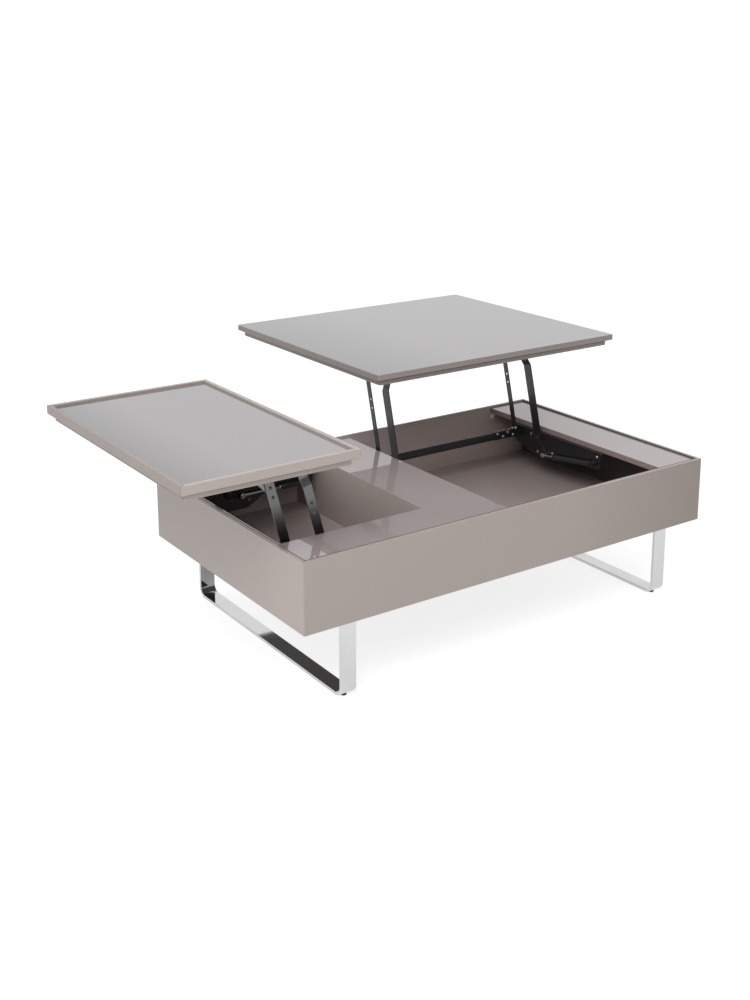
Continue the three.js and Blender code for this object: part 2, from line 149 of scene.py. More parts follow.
# The depth of a fine matt texture, in metres.
FINE_RELIEF = 0.00002


class Surface:
    """A Principled material whose colour, roughness and bump come from procedural textures."""

    def __init__(self, name, metallic=0.0, ior=1.5, specular=0.5):
        self.material = bpy.data.materials.new(name)
        self.material.use_nodes = True
        self.nodes = self.material.node_tree.nodes
        self.links = self.material.node_tree.links
        self.shader = self.nodes["Principled BSDF"]
        self.shader.inputs["Metallic"].default_value = metallic
        self.shader.inputs["IOR"].default_value = ior
        self.shader.inputs["Specular IOR Level"].default_value = specular
        self.coordinates = self.nodes.new("ShaderNodeTexCoord").outputs["Object"]

    def noise(self, scale, detail, stretch=(1, 1, 1), roughness=0.5):
        mapping = self.nodes.new("ShaderNodeMapping")
        mapping.inputs["Scale"].default_value = stretch
        self.links.new(self.coordinates, mapping.inputs["Vector"])
        texture = self.nodes.new("ShaderNodeTexNoise")
        texture.inputs["Scale"].default_value = scale
        texture.inputs["Detail"].default_value = detail
        texture.inputs["Roughness"].default_value = roughness
        self.links.new(mapping.outputs["Vector"], texture.inputs["Vector"])
        return texture.outputs["Fac"]

    def spread(self, value, low, high, start=NOISE_LOW, end=NOISE_HIGH):
        """Brings a value that runs from start to end to run from low to high."""
        node = self.nodes.new("ShaderNodeMapRange")
        node.inputs["From Min"].default_value = start
        node.inputs["From Max"].default_value = end
        node.inputs["To Min"].default_value = low
        node.inputs["To Max"].default_value = high
        self.links.new(value, node.inputs["Value"])
        return node.outputs["Result"]

    def along(self, axis, start, end):
        """Where a point lies along the piece's own box, between two shares of it, running as noise does."""
        coordinates = self.nodes.new("ShaderNodeTexCoord").outputs["Generated"]
        place = self.nodes.new("ShaderNodeSeparateXYZ")
        self.links.new(coordinates, place.inputs["Vector"])
        return self.spread(place.outputs[axis], NOISE_LOW, NOISE_HIGH, start, end)

    def mottled(self, value, scale, amount):
        """The value with a little noise added."""
        node = self.nodes.new("ShaderNodeMath")
        node.operation = "MULTIPLY_ADD"
        self.links.new(self.noise(scale, detail=3), node.inputs[0])
        node.inputs[1].default_value = amount
        self.links.new(value, node.inputs[2])
        return node.outputs["Value"]

    def color(self, value, dark, light):
        """The base colour, from dark where the value is low to light where it is high."""
        node = self.nodes.new("ShaderNodeMix")
        node.data_type = "RGBA"
        # A Mix node's colour sockets share their names with its other sockets, so they go by number.
        node.inputs[6].default_value = dark
        node.inputs[7].default_value = light
        self.links.new(self.spread(value, 0, 1), node.inputs[0])
        self.links.new(node.outputs[2], self.shader.inputs["Base Color"])

    def roughness(self, value, low, high):
        self.links.new(self.spread(value, low, high), self.shader.inputs["Roughness"])

    def bump(self, value, distance, strength=1.0):
        node = self.nodes.new("ShaderNodeBump")
        node.inputs["Distance"].default_value = distance
        node.inputs["Strength"].default_value = strength
        self.links.new(value, node.inputs["Height"])
        self.links.new(node.outputs["Normal"], self.shader.inputs["Normal"])


def lacquer_surface(name, first, last, gloss, peel, ior=1.5, grade=None):
    """Sprayed lacquer: a slow, random wander of tone, and orange peel that softens what it reflects.

    A grade is an axis and two shares of the piece's box, and the tone goes from first to last between them as
    painted light and shade, with a little noise on top.
    """
    surface = Surface(name, ior=ior)
    if grade:
        # With a grade, the tone ramp is painted light and shade; only the noise on it is the lacquer's own tone.
        tone_drift_and_painted_light = surface.mottled(surface.along(*grade), scale=5, amount=0.05)
    else:
        tone_drift_and_painted_light = surface.noise(scale=5, detail=2)
    surface.color(tone_drift_and_painted_light, first, last)
    surface.roughness(surface.noise(scale=60, detail=3), *gloss)
    surface.bump(surface.noise(scale=180, detail=2), peel)
    return surface.material


def foil_surface(name, dark, light, roughness):
    """Melamine foil: a fine printed grain along X with a matt pore relief."""
    surface = Surface(name, specular=0.35)
    grain = surface.noise(scale=40, detail=6, stretch=(0.6, 5, 5), roughness=0.65)
    surface.color(grain, dark, light)
    surface.roughness(surface.noise(scale=300, detail=2), *roughness)
    surface.bump(surface.noise(scale=900, detail=3), FINE_RELIEF, 0.5)
    return surface.material


def chrome_surface(name, dark, light):
    """Polished chrome: a slow waviness, and wiping marks that vary its gloss."""
    surface = Surface(name, metallic=1.0)
    surface.color(surface.noise(scale=9, detail=2), dark, light)
    surface.roughness(surface.noise(scale=120, detail=4, stretch=(1, 1, 6)), 0.035, 0.075)
    surface.bump(surface.noise(scale=14, detail=1), 0.00003, 0.4)
    return surface.material


def finish_powder(surface):
    """The gloss and the fine grain that black powder coats share."""
    surface.roughness(surface.noise(scale=500, detail=3), 0.2, 0.34)
    surface.bump(surface.noise(scale=1400, detail=3), FINE_RELIEF, 0.3)
    return surface.material


def powder_coat_surface(name, dark, light, ior):
    """Powder coated steel with an even, slightly mottled tone."""
    surface = Surface(name, ior=ior)
    surface.color(surface.noise(scale=70, detail=4), dark, light)
    return finish_powder(surface)


def satin_surface_painted_light(name, dark, light):
    """Satin black steel with painted light and shade: lighter and glossier at its upper end, duller and darker
    towards its lower end.
    """
    surface = Surface(name, ior=2.1)
    # The height ramp paints shade and a dimmer reflection into the lower part, and light into the upper part.
    height = surface.along("Z", 0.3, 0.62)
    surface.color(surface.mottled(height, scale=70, amount=0.1), dark, light)
    surface.links.new(surface.spread(height, 0.08, 0.5), surface.shader.inputs["Specular IOR Level"])
    return finish_powder(surface)


def zinc_surface(name):
    """Bright zinc plating with a fine spangle."""
    surface = Surface(name, metallic=1.0)
    surface.color(surface.noise(scale=260, detail=5), tone(150, 152, 156), tone(206, 206, 204))
    surface.roughness(surface.noise(scale=900, detail=3), 0.2, 0.42)
    surface.bump(surface.noise(scale=1800, detail=2), 0.00001, 0.5)
    return surface.material


def moulded_surface(name, dark, light, roughness):
    """Moulded plastic or rubber with a fine matt texture."""
    surface = Surface(name, ior=1.46)
    surface.color(surface.noise(scale=90, detail=3), dark, light)
    surface.roughness(surface.noise(scale=700, detail=2), *roughness)
    surface.bump(surface.noise(scale=1500, detail=2), FINE_RELIEF, 0.5)
    return surface.material


def floor_surface(name):
    """A pale studio floor that glows a little, so that it stays white away from the lights."""
    surface = Surface(name, specular=0.2)
    surface.color(surface.noise(scale=0.6, detail=2), tone(148, 148, 148), tone(152, 152, 152))
    surface.roughness(surface.noise(scale=20, detail=2), 0.7, 0.85)
    surface.shader.inputs["Emission Color"].default_value = (1, 1, 1, 1)
    surface.shader.inputs["Emission Strength"].default_value = 0.8
    return surface.material


# Lacquer: how rough it is, least and most, and how deep its orange peel is, in metres. The polished ones
# also have their own refractive index.
SATIN = ((0.3, 0.38), 0.00004)
SATIN_EDGE = ((0.3, 0.38), 0.00003)
PRESSED_EDGE = ((0.25, 0.35), 0.00003)
POLISHED_TOP = ((0.02, 0.05), 0.000004, 1.65)
POLISHED_DECK = ((0.0, 0.02), 0.000003, 1.65)

# One finish for each material slot.
FINISHES = {
    "lacquer": lacquer_surface("lacquer", tone(152, 142, 137), tone(155, 145, 140), *SATIN),
    # The lid tops' tone ramps up along X as a painted reflection: darker at the left end and lighter to the right,
    # where more bright wall is reflected.
    "gloss_top": lacquer_surface(
        "gloss_top", tone(102, 100, 101), tone(125, 122, 123), *POLISHED_TOP, grade=("X", 0, 0.4)),
    "gloss_deck": lacquer_surface("gloss_deck", tone(144, 134, 135), tone(147, 137, 138), *POLISHED_DECK),
    "interior": foil_surface("interior", tone(158, 147, 144), tone(166, 155, 151), (0.42, 0.58)),
    "timber": foil_surface("timber", tone(128, 118, 112), tone(140, 130, 123), (0.5, 0.65)),
    "chrome": chrome_surface("chrome", tone(194, 195, 197), tone(202, 202, 203)),
    "black_steel": powder_coat_surface("black_steel", tone(20, 20, 22), tone(28, 28, 30), ior=1.5),
    "rubber": moulded_surface("rubber", tone(30, 30, 31), tone(42, 42, 43), (0.6, 0.8)),
    "plastic": moulded_surface("plastic", tone(228, 218, 204), tone(236, 228, 214), (0.35, 0.5)),
}

# Finishes for single pieces and faces.
ZINC = zinc_surface("zinc")
# A lighter, glossier black steel for the left lift's arms, with painted light above and painted shade below.
SATIN_STEEL_PAINTED_LIGHT = satin_surface_painted_light("satin_steel", tone(12, 12, 13), tone(44, 44, 45))
# A lighter, more reflective copy of the black steel for the left lift's brackets: painted light for the bright
# floor they reflect.
LIT_BRACKET_STEEL = powder_coat_surface("bracket_steel", tone(46, 46, 47), tone(56, 56, 57), ior=2.4)
# A darker copy of the lacquer for the right ledge's sides: painted shade.
SHADED_EDGE_BAND = lacquer_surface("shaded_edge_band", tone(132, 116, 114), tone(138, 122, 119), *PRESSED_EDGE)
# Darker copies of the lacquer for the right lid's edges and for its faces that point left: painted shade.
SHADED_LID_EDGE = lacquer_surface("shaded_lid_edge", tone(126, 117, 113), tone(130, 121, 117), *SATIN_EDGE)
SHADED_LID_END = lacquer_surface("shaded_lid_end", tone(106, 97, 94), tone(111, 102, 99), *SATIN_EDGE)
# A dimmer chrome: on the legs' inner back bars it is a painted reflection of the dark space under the table; it
# also dims the strut rods and the left lift's screws.
DARK_CHROME = chrome_surface("dark_chrome", tone(128, 129, 132), tone(150, 150, 152))
# A dark finish for the bottom panel's underside: painted shade.
PAINTED_SHADE_UNDERSIDE = foil_surface("backing", tone(62, 58, 55), tone(70, 66, 62), (0.6, 0.75))
# A dark lining for the right end's inner face: painted shade for the deep shadow under the ledge.
PAINTED_SHADE_LINING = foil_surface("dark_lining", tone(66, 62, 62), tone(76, 71, 70), (0.3, 0.42))
# A paler lining for the back's inner face: painted light on the wall that the raised lids shade.
PAINTED_LIGHT_LINING = foil_surface("pale_lining", tone(172, 158, 156), tone(180, 166, 163), (0.42, 0.58))
FLOOR_LINING = foil_surface("floor_lining", tone(156, 145, 143), tone(164, 152, 150), (0.26, 0.36))
# A darker copy of the lacquer for faces that point left: painted shade.
SHADED_SIDE_LACQUER = lacquer_surface("shaded_side_lacquer", tone(124, 114, 109), tone(130, 120, 115), *SATIN)
# The front's outer face darkens towards the right end: painted light falloff away from the key light.
FRONT_LACQUER_PAINTED_FALLOFF = lacquer_surface(
    "front_lacquer", tone(151, 141, 136), tone(130, 120, 115), *SATIN, grade=("X", 0.62, 1.05))
# The left end's outer face darkens towards the back: painted light falloff.
END_LACQUER_PAINTED_FALLOFF = lacquer_surface(
    "end_lacquer", tone(153, 143, 138), tone(142, 133, 128), *SATIN, grade=("Y", 0.35, 1))
# A dark matt finish for thin lines of painted shade: under the lid slabs' overhang and along the box's inner rim.
PAINTED_SHADE_STRIP = moulded_surface("seam", tone(70, 62, 60), tone(86, 76, 73), (0.5, 0.7))


# ---- outlines, in millimetres ----
def rounded(points, radii, steps=5):
    """A closed outline whose corners are arcs. radii is one radius, or one for each corner."""
    points = [Vector(p) for p in points]
    if not hasattr(radii, "__len__"):
        radii = [radii] * len(points)
    outline = []
    for i, corner in enumerate(points):
        before = (points[i - 1] - corner).normalized()
        after = (points[(i + 1) % len(points)] - corner).normalized()
        half = math.acos(max(-1, min(1, before.dot(after)))) / 2
        reach = radii[i] / math.tan(half)
        centre = corner + (before + after).normalized() * (radii[i] / math.sin(half))
        start = corner + before * reach - centre
        turn = math.pi - 2 * half
        if before.x * after.y - before.y * after.x > 0:
            turn = -turn
        for k in range(steps + 1):
            angle = turn * k / steps
            c, s = math.cos(angle), math.sin(angle)
            outline.append(centre + Vector((start.x * c - start.y * s, start.x * s + start.y * c)))
    return outline


def rectangle(x0, x1, y0, y1, radius, steps=4):
    return rounded([(x0, y0), (x1, y0), (x1, y1), (x0, y1)], radius, steps)


def grown(low, high, out, radius, steps=4):
    """The rectangle under a box, moved out on every side."""
    return rectangle(low.x - out, high.x + out, low.y - out, high.y + out, radius, steps)


def circle(x, y, radius, count):
    angles = [2 * math.pi * k / count for k in range(count)]
    return [Vector((x + radius * math.cos(a), y + radius * math.sin(a))) for a in angles]


def strip(length, width):
    """A flat strip with round ends, from (0, 0) up to (0, length)."""
    steps = 12
    r = width / 2
    ends = [(0, math.pi), (length, 0)]
    outline = []
    for y, start in ends:
        for k in range(steps + 1):
            angle = start + math.pi * k / steps
            outline.append(Vector((r * math.cos(angle), y + r * math.sin(angle))))
    return outline


def area(outline):
    return sum(a.x * b.y - b.x * a.y for a, b in zip(outline[-1:] + outline[:-1], outline)) / 2


def inset(outline, distance):
    """The outline moved towards its left by distance."""
    moved = []
    for i, point in enumerate(outline):
        before = (point - outline[i - 1]).normalized()
        after = (outline[(i + 1) % len(outline)] - point).normalized()
        left = Vector((-before.y, before.x))
        across = Vector((-before.y - after.y, before.x + after.x)).normalized()
        moved.append(point + across * (distance / max(across.dot(left), 0.35)))
    return moved


# ---- solids, in millimetres ----
# Marks the six-sided levels of a turned solid, and how many facets bolts and screws have.
HEXAGON = "hexagon"
BOLT_FACETS = 36


def prism(outer, holes, low, high, edge, steps=3):
    """A plate between low and high in Z, with rounded edges round its outline and its holes."""
    bm = bmesh.new()
    loops = [outer if area(outer) > 0 else outer[::-1]]
    loops += [hole if area(hole) < 0 else hole[::-1] for hole in holes]
    turns = [math.pi / 2 * k / steps for k in range(steps + 1)]
    rings = [(edge * (1 - math.sin(t)), low + edge * (1 - math.cos(t))) for t in turns]
    rings += [(distance, low + high - z) for distance, z in reversed(rings)]
    caps = [[], []]
    for loop in loops:
        levels = []
        for distance, z in rings:
            levels.append([bm.verts.new((p.x, p.y, z)) for p in inset(loop, distance)])
        for lower, upper in zip(levels, levels[1:]):
            for i in range(len(loop)):
                bm.faces.new((lower[i - 1], lower[i], upper[i], upper[i - 1]))
        for cap, level in zip(caps, (levels[0], levels[-1])):
            cap += [bm.edges.get((level[i - 1], level[i])) for i in range(len(level))]
    for cap in caps:
        bmesh.ops.triangle_fill(bm, edges=cap, use_beauty=True)
    bmesh.ops.recalc_face_normals(bm, faces=bm.faces)
    return bm


def board(low, high, edge=0.8):
    """A rectangular board between two corners, every edge rounded."""
    return prism(grown(low, high, 0, edge * 1.01, 3), [], low.z, high.z, edge)


def hexagonal(radius, angle):
    """The distance to a hexagon's edge in one direction, where radius reaches its corners."""
    third = math.pi / 3
    return radius * math.cos(third / 2) / math.cos(angle % third - third / 2)


def turned(profile, count=28):
    """A solid about Z, from (radius, z) pairs that start and end on the axis.

    A third value, HEXAGON, makes that level of the solid six-sided.
    """
    bm = bmesh.new()
    angles = [2 * math.pi * k / count for k in range(count)]
    rings = []
    for radius, z, *shape in profile:
        if radius == 0:
            rings.append([bm.verts.new((0, 0, z))])
            continue
        reaches = [hexagonal(radius, a) if shape else radius for a in angles]
        rings.append([bm.verts.new((r * math.cos(a), r * math.sin(a), z)) for r, a in zip(reaches, angles)])
    join_rings(bm, rings)
    return bm


def join_rings(bm, rings):
    for a, b in zip(rings, rings[1:]):
        for i in range(max(len(a), len(b))):
            corners = [a[i - 1], a[i]] if len(a) > 1 else [a[0]]
            corners += [b[i], b[i - 1]] if len(b) > 1 else [b[0]]
            bm.faces.new(corners)
    bmesh.ops.recalc_face_normals(bm, faces=bm.faces)


def hex_bolt(radius, height):
    """A hexagon head on a washer, standing on Z = 0."""
    washer = 0.18 * height
    return turned([
        (0, 0), (radius * 1.35, 0), (radius * 1.42, washer * 0.4), (radius * 1.35, washer),
        (radius * 1.02, washer), (radius, washer, HEXAGON), (radius, height * 0.86, HEXAGON),
        (radius * 0.88, height), (radius * 0.8, height), (0, height),
    ], BOLT_FACETS)


def socket_screw(radius, height):
    """A domed head with a hexagon socket, standing on Z = 0."""
    socket = 0.46 * radius
    rim = 1.25 * socket
    shoulder = 0.3 * height
    profile = [(0, 0), (radius, 0), (radius, shoulder)]
    for k in range(1, 5):
        turn = math.pi / 2 * k / 5
        dome = shoulder + 0.7 * height * math.sin(turn)
        profile.append((rim + (radius - rim) * math.cos(turn), dome))
    profile += [(rim, height), (socket, height * 0.97, HEXAGON), (socket, height * 0.35, HEXAGON)]
    profile.append((0, shoulder))
    return turned(profile, BOLT_FACETS)


def merged(parts):
    """One bmesh from (bmesh, matrix) pairs, each part moved by its matrix."""
    whole = bmesh.new()
    for part, matrix in parts:
        mesh = bpy.data.meshes.new("part")
        part.transform(matrix)
        if matrix.determinant() < 0:
            bmesh.ops.reverse_faces(part, faces=part.faces)
        part.to_mesh(mesh)
        part.free()
        whole.from_mesh(mesh)
        bpy.data.meshes.remove(mesh)
    return whole


# ---- places and pieces ----
STILL = Matrix.Identity(4)
MIRRORED = Matrix.Diagonal((1, 1, -1, 1))
X = Vector((1, 0, 0))
Y = Vector((0, 1, 0))
Z = Vector((0, 0, 1))
BASE = "table_base"
SHARP_ANGLE = math.radians(42)


def drawn_along(x, y, z, place=(0, 0, 0)):
    """The move that takes a drawing's own X, Y and Z along three directions, from a place."""
    return Matrix.Translation(place) @ Matrix((x, y, z)).transposed().to_4x4()


def pointing(way):
    """A test for faces that point one way."""
    return lambda face: face.normal.dot(way) > 0.9


def add_piece(name, bm, matrix, body, slot, nodes=(), material=None, patches=()):
    """Turns a bmesh in millimetres into a piece that rides on a body and stands for CAD nodes.

    A patch is a test for faces and the material of those that pass it; the last one passed counts.
    """
    bm.transform(Matrix.Scale(MM, 4) @ matrix)
    if matrix.determinant() < 0:
        bmesh.ops.reverse_faces(bm, faces=bm.faces)
    bm.normal_update()
    for face in bm.faces:
        face.material_index = max((k for k, (test, _) in enumerate(patches, 1) if test(face)), default=0)
    mesh = bpy.data.meshes.new(name)
    bm.to_mesh(mesh)
    bm.free()
    mesh.shade_smooth()
    mesh.set_sharp_from_angle(angle=SHARP_ANGLE)
    mesh.materials.append(material or FINISHES[slot])
    for _, finish in patches:
        mesh.materials.append(finish)
    piece = bpy.data.objects.new(name, mesh)
    bpy.context.scene.collection.objects.link(piece)
    normals = piece.modifiers.new("even_normals", "WEIGHTED_NORMAL")
    normals.keep_sharp = True
    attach(piece, body)
    if nodes:
        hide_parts(*nodes)


# ---- box ----
BOX_CORNER = 2.2
BOX_EDGE = 0.9
# The dark strip of painted shade along the rim's inner edge: its width, how far in from the inner edge it stays,
# its depth and its height.
RIM_SHADE_WIDTH = 2
RIM_SHADE_MARGIN = 0.6
RIM_SHADE_DEPTH = 0.4
RIM_SHADE_HEIGHT = 0.5
# The deck's opening clears the left cleat and the left lift's arms by these.
CLEAT_GAP = 0.3
ARM_GAP = 1


def mitred_strip(length, thickness, height, corner, edge):
    """A strip along X with its outer face on Y = 0, mitred at both ends, its outer corners rounded."""
    half = length / 2
    trim = 0.1
    steps = 4
    outline = []
    for side in (-1, 1):
        arc = []
        for k in range(steps + 1):
            turn = math.pi / 4 * (1 - k / steps)
            across = corner * math.sin(turn)
            arc.append(Vector((side * (half - corner + across - trim), corner * (1 - math.cos(turn)))))
        outline += arc if side < 0 else arc[::-1]
    inner = half - thickness - trim
    outline += [Vector((inner, thickness)), Vector((-inner, thickness))]
    return prism(outline, [], 0, height, edge)


def mitred_frame(strips, low, high, thickness, corner, edge, body):
    """Four lacquered strips round a rectangle, front first: each is a name, its nodes and its finish."""
    size = high - low
    middle = (low + high) / 2
    sides = [
        (size.x, (middle.x, low.y, low.z)),
        (size.y, (high.x, middle.y, low.z)),
        (size.x, (middle.x, high.y, low.z)),
        (size.y, (low.x, middle.y, low.z)),
    ]
    for quarter, ((name, nodes, finish), (length, place)) in enumerate(zip(strips, sides)):
        strip_mesh = mitred_strip(length, thickness, size.z, corner, edge)
        matrix = Matrix.Translation(place) @ Matrix.Rotation(quarter * math.pi / 2, 4, "Z")
        add_piece(name, strip_mesh, matrix, body, "lacquer", nodes, **finish)


def add_box():
    low = box_mm("front_panel")[0]
    high = box_mm("back_panel")[1]
    low.x, high.x = box_mm("left_end_panel")[0].x, box_mm("right_end_panel")[1].x
    thickness = box_mm("front_panel")[1].y - low.y
    strips = []
    # The front and left end darken with painted light falloff, the right end's inner face is dark as painted
    # shade, and the back's inner face is lightened as painted light.
    for node, way, patch in [
        ("front_panel", -Y, FRONT_LACQUER_PAINTED_FALLOFF), ("right_end_panel", -X, PAINTED_SHADE_LINING),
        ("back_panel", -Y, PAINTED_LIGHT_LINING), ("left_end_panel", -X, END_LACQUER_PAINTED_FALLOFF),
    ]:
        strips.append((f"{node}_finished", [node], {"patches": [(pointing(way), patch)]}))
    mitred_frame(strips, low, high, thickness, BOX_CORNER, BOX_EDGE, BASE)
    add_rim_painted_shade(low, high, thickness)


def add_rim_painted_shade(low, high, thickness):
    """A fine dark strip along the inner edge of the box's rim: painted shade where the rim's inner face drops to
    the deck.
    """
    inner = thickness - RIM_SHADE_MARGIN
    outline = grown(low, high, RIM_SHADE_WIDTH - inner, 1)
    hole = grown(low, high, -inner, 1)
    rim_shade_line = prism(outline, [hole], high.z - RIM_SHADE_DEPTH, high.z + RIM_SHADE_HEIGHT, 0.3)
    add_piece("rim_seam", rim_shade_line, STILL, BASE, "lacquer", material=PAINTED_SHADE_STRIP)


def add_inner_boards():
    # The bottom panel's underside gets a dark finish as painted shade.
    floor_finish = {"material": FLOOR_LINING, "patches": [(pointing(-Z), PAINTED_SHADE_UNDERSIDE)]}
    for node, slot, finish in [
        ("bottom_panel", "interior", floor_finish), ("divider_panel", "interior", {}),
        ("middle_support_panel", "interior", {}), ("deck_cleat_front", "timber", {}),
        ("deck_cleat_back", "timber", {}), ("deck_cleat_left", "timber", {}),
        ("ledge_cleat_right", "timber", {}),
    ]:
        add_piece(f"{node}_finished", board(*box_mm(node)), STILL, BASE, slot, [node], **finish)


def add_deck():
    """The two boards on top, both polished on their upper faces."""
    polished = [(pointing(Z), FINISHES["gloss_deck"])]
    # The ledge's sides get a darker lacquer as painted shade.
    ledge = board(*box_mm("right_ledge_board"))
    add_piece("right_ledge_board_finished", ledge, STILL, BASE, "gloss_deck", ["right_ledge_board"],
              material=SHADED_EDGE_BAND, patches=polished)
    low, high = box_mm("deck_board")
    hole_left = box_mm("deck_cleat_left")[1].x + CLEAT_GAP
    hole_right = box_mm("divider_panel")[0].x
    hole_front = box_mm("left_lift_main_arm_front")[0].y - ARM_GAP
    opening = rectangle(hole_left, hole_right, hole_front, -hole_front, 1.5)
    deck = prism(grown(low, high, 0, 1), [opening], low.z, high.z, 0.8)
    add_piece("deck_board_finished", deck, STILL, BASE, "gloss_deck", ["deck_board"],
              material=FINISHES["interior"], patches=polished)


# ---- legs ----
LEG_BAR = 8
LEG_BEND = 27
LEG_CORNER = 1.5
# The places of the screws along a leg's top bar.
LEG_SCREWS = (-270, -110, 110, 270)


# The inner face of a leg's back bar, which gets a dimmer chrome as a painted reflection of the dark space under
# the table.
def back_bar_painted_reflection(face):
    return face.normal.y < -0.9 and face.calc_center_median().y > 0


def leg_outline(low, high, inwards):
    """A loop's outline in Y and Z, moved inwards, with its two lower corners bent."""
    front, back = low.y + inwards, high.y - inwards
    foot, top = low.z + inwards, high.z - inwards
    bend = LEG_BEND - inwards
    corners = [(front, foot), (back, foot), (back, top), (front, top)]
    return rounded(corners, [bend, bend, LEG_CORNER, LEG_CORNER], 20)


def add_legs():
    for side in ("left", "right"):
        node = f"{side}_leg"
        low, high = box_mm(node)
        window = leg_outline(low, high, LEG_BAR)
        loop = prism(leg_outline(low, high, 0), [window], low.x, high.x, 0.9, 4)
        add_piece(f"{node}_finished", loop, drawn_along(Y, Z, X), BASE, "chrome", [node],
                  patches=[(back_bar_painted_reflection, DARK_CHROME)])
        for end in ("front", "back"):
            add_glide(f"{node}_glide_{end}")


def add_glide(node):
    """A round foot, its sole bevelled, under a leg's bar."""
    low, high = box_mm(node)
    radius = (high.x - low.x) / 2
    top = high.z
    foot = turned([
        (0, 0), (radius - 1.2, 0), (radius - 0.4, 0.35), (radius, 1.1), (radius, top - 0.9),
        (radius - 0.8, top - 0.1), (radius - 5, top), (0, top),
    ])
    middle = (low + high) / 2
    add_piece(f"{node}_finished", foot, Matrix.Translation((middle.x, middle.y, 0)), BASE, "rubber", [node])


# ---- lids ----
RIM_GAP = 0.3
UNDERPLATE_CORNER = 9
# The dark band round an under-plate, just below the slab, is painted shade under the slab's overhang: its skin,
# its gap, its foot and its top.
BAND_OUT = 0.5
BAND_IN = 0.1
BAND_FOOT = 5
BAND_TOP = 0.2


def add_lids():
    add_left_lid()
    add_right_lid()
    # Faces that point left, and the right lid's under-plate, get darker lacquer copies as painted shade.
    add_underplate("left_lid", {"patches": [(pointing(-X), SHADED_SIDE_LACQUER)]})
    add_underplate("right_lid", {"material": SHADED_LID_EDGE, "patches": [(pointing(-X), SHADED_LID_END)]})


def add_left_lid():
    """A polished panel inside a raised rim."""
    low, high = box_mm("left_lid_rim")
    panel = box_mm("left_lid_panel")
    # The rim's left strip gets a darker lacquer as painted shade.
    strips = [
        ("left_lid_rim_front", ["left_lid_rim"], {}), ("left_lid_rim_right", [], {}),
        ("left_lid_rim_back", [], {}), ("left_lid_rim_left", [], {"material": SHADED_SIDE_LACQUER}),
    ]
    mitred_frame(strips, low, high, panel[0].x - low.x - RIM_GAP, 4, 1.6, "left_lid")
    add_piece("left_lid_panel_finished", board(*panel, 0.6), STILL, "left_lid", "gloss_top",
              ["left_lid_panel"])


def add_right_lid():
    """A slab with a polished top and rounded corners."""
    low, high = box_mm("right_lid_panel")
    slab = prism(grown(low, high, 0, 7, 10), [], low.z, high.z, 1.6, 5)
    # The slab's edges, and more so its left end, get darker lacquer copies as painted shade; its top's tone ramp
    # is a painted reflection.
    add_piece("right_lid_panel_finished", slab, STILL, "right_lid", "gloss_top", ["right_lid_panel"],
              material=SHADED_LID_EDGE, patches=[(pointing(Z), FINISHES["gloss_top"]), (pointing(-X), SHADED_LID_END)])


def add_underplate(lid, finish):
    """The plate under a lid's slab, and the dark band of painted shade where they meet."""
    node = f"{lid}_underplate"
    low, high = box_mm(node)
    outline, skin, gap = (
        grown(low, high, out, UNDERPLATE_CORNER + out, 8) for out in (0, BAND_OUT, BAND_IN))
    plate = prism(outline, [], low.z, high.z, 1.2)
    add_piece(f"{node}_finished", plate, STILL, lid, "lacquer", [node], **finish)
    band = prism(skin, [gap], high.z - BAND_FOOT, high.z - BAND_TOP, 0.15)
    add_piece(f"{lid}_seam", band, STILL, lid, "lacquer", material=PAINTED_SHADE_STRIP)


# ---- lifts ----
# A lift is drawn in its own frame: x along the lid's travel, y up, z across the opening. A side's layers
# are counted inwards from its edge of the opening.
PLATE_LAYER = (-3, 0)
MAIN_ARM_LAYER = (1, 4)
SECOND_ARM_LAYER = (9, 12)
BRACKET_LAYER = (13, 16)
STRUT_LAYER = (4.6, 12.4)
STEEL = 3
STEEL_EDGE = 0.7
FLANGE = 28
PIVOT_HOLE = 5.3
HUB_RADIUS = 15
LEVER_WIDTH = 20
# The main arm steps inwards between these two distances below its upper pivot.
JOG_START = 62
JOG_END = 38
# The strut's tube and rod start this far from the pivot on the post. The radii are the tube's, the rod's,
# the eyes' and that of the hole in the eye on the post.
BODY_START = 12
ROD_START = 26
STRUT_RADIUS = 7.5
ROD_RADIUS = 3.5
EYE_RADIUS = 8
EYE_HOLE = 4.3
# A base plate's web: the steel under the strut's post, the places of its waist and of its deep part along
# the travel from the main pivot, and how deep it is there and at its tip.
POST_MARGIN = 14
WAIST_PLACE = -120
DEEP_START = -60
DEEP_END = 22
WEB_DEPTH = 52
TIP_DEPTH = 22
# The stop stud stands this far beside the main arm, at this angle from its pivot.
STOP_GAP = 5
STOP_ANGLE = math.radians(27)
# Half the cross bar's depth and height, and the saddles that hold its ends.
BAR_DEPTH = 7
BAR_HEIGHT = 11
SADDLE_STEEL = 2.5
SADDLE_BOLT = (7, 12.6)
# The clamp round the cross bar: its skin, how far from the bar's end it starts and stops, and its bolts.
CLAMP_SKIN = 1.4
CLAMP_SPAN = (84, 3)
CLAMP_BOLTS = 4
CLAMP_PITCH = 20


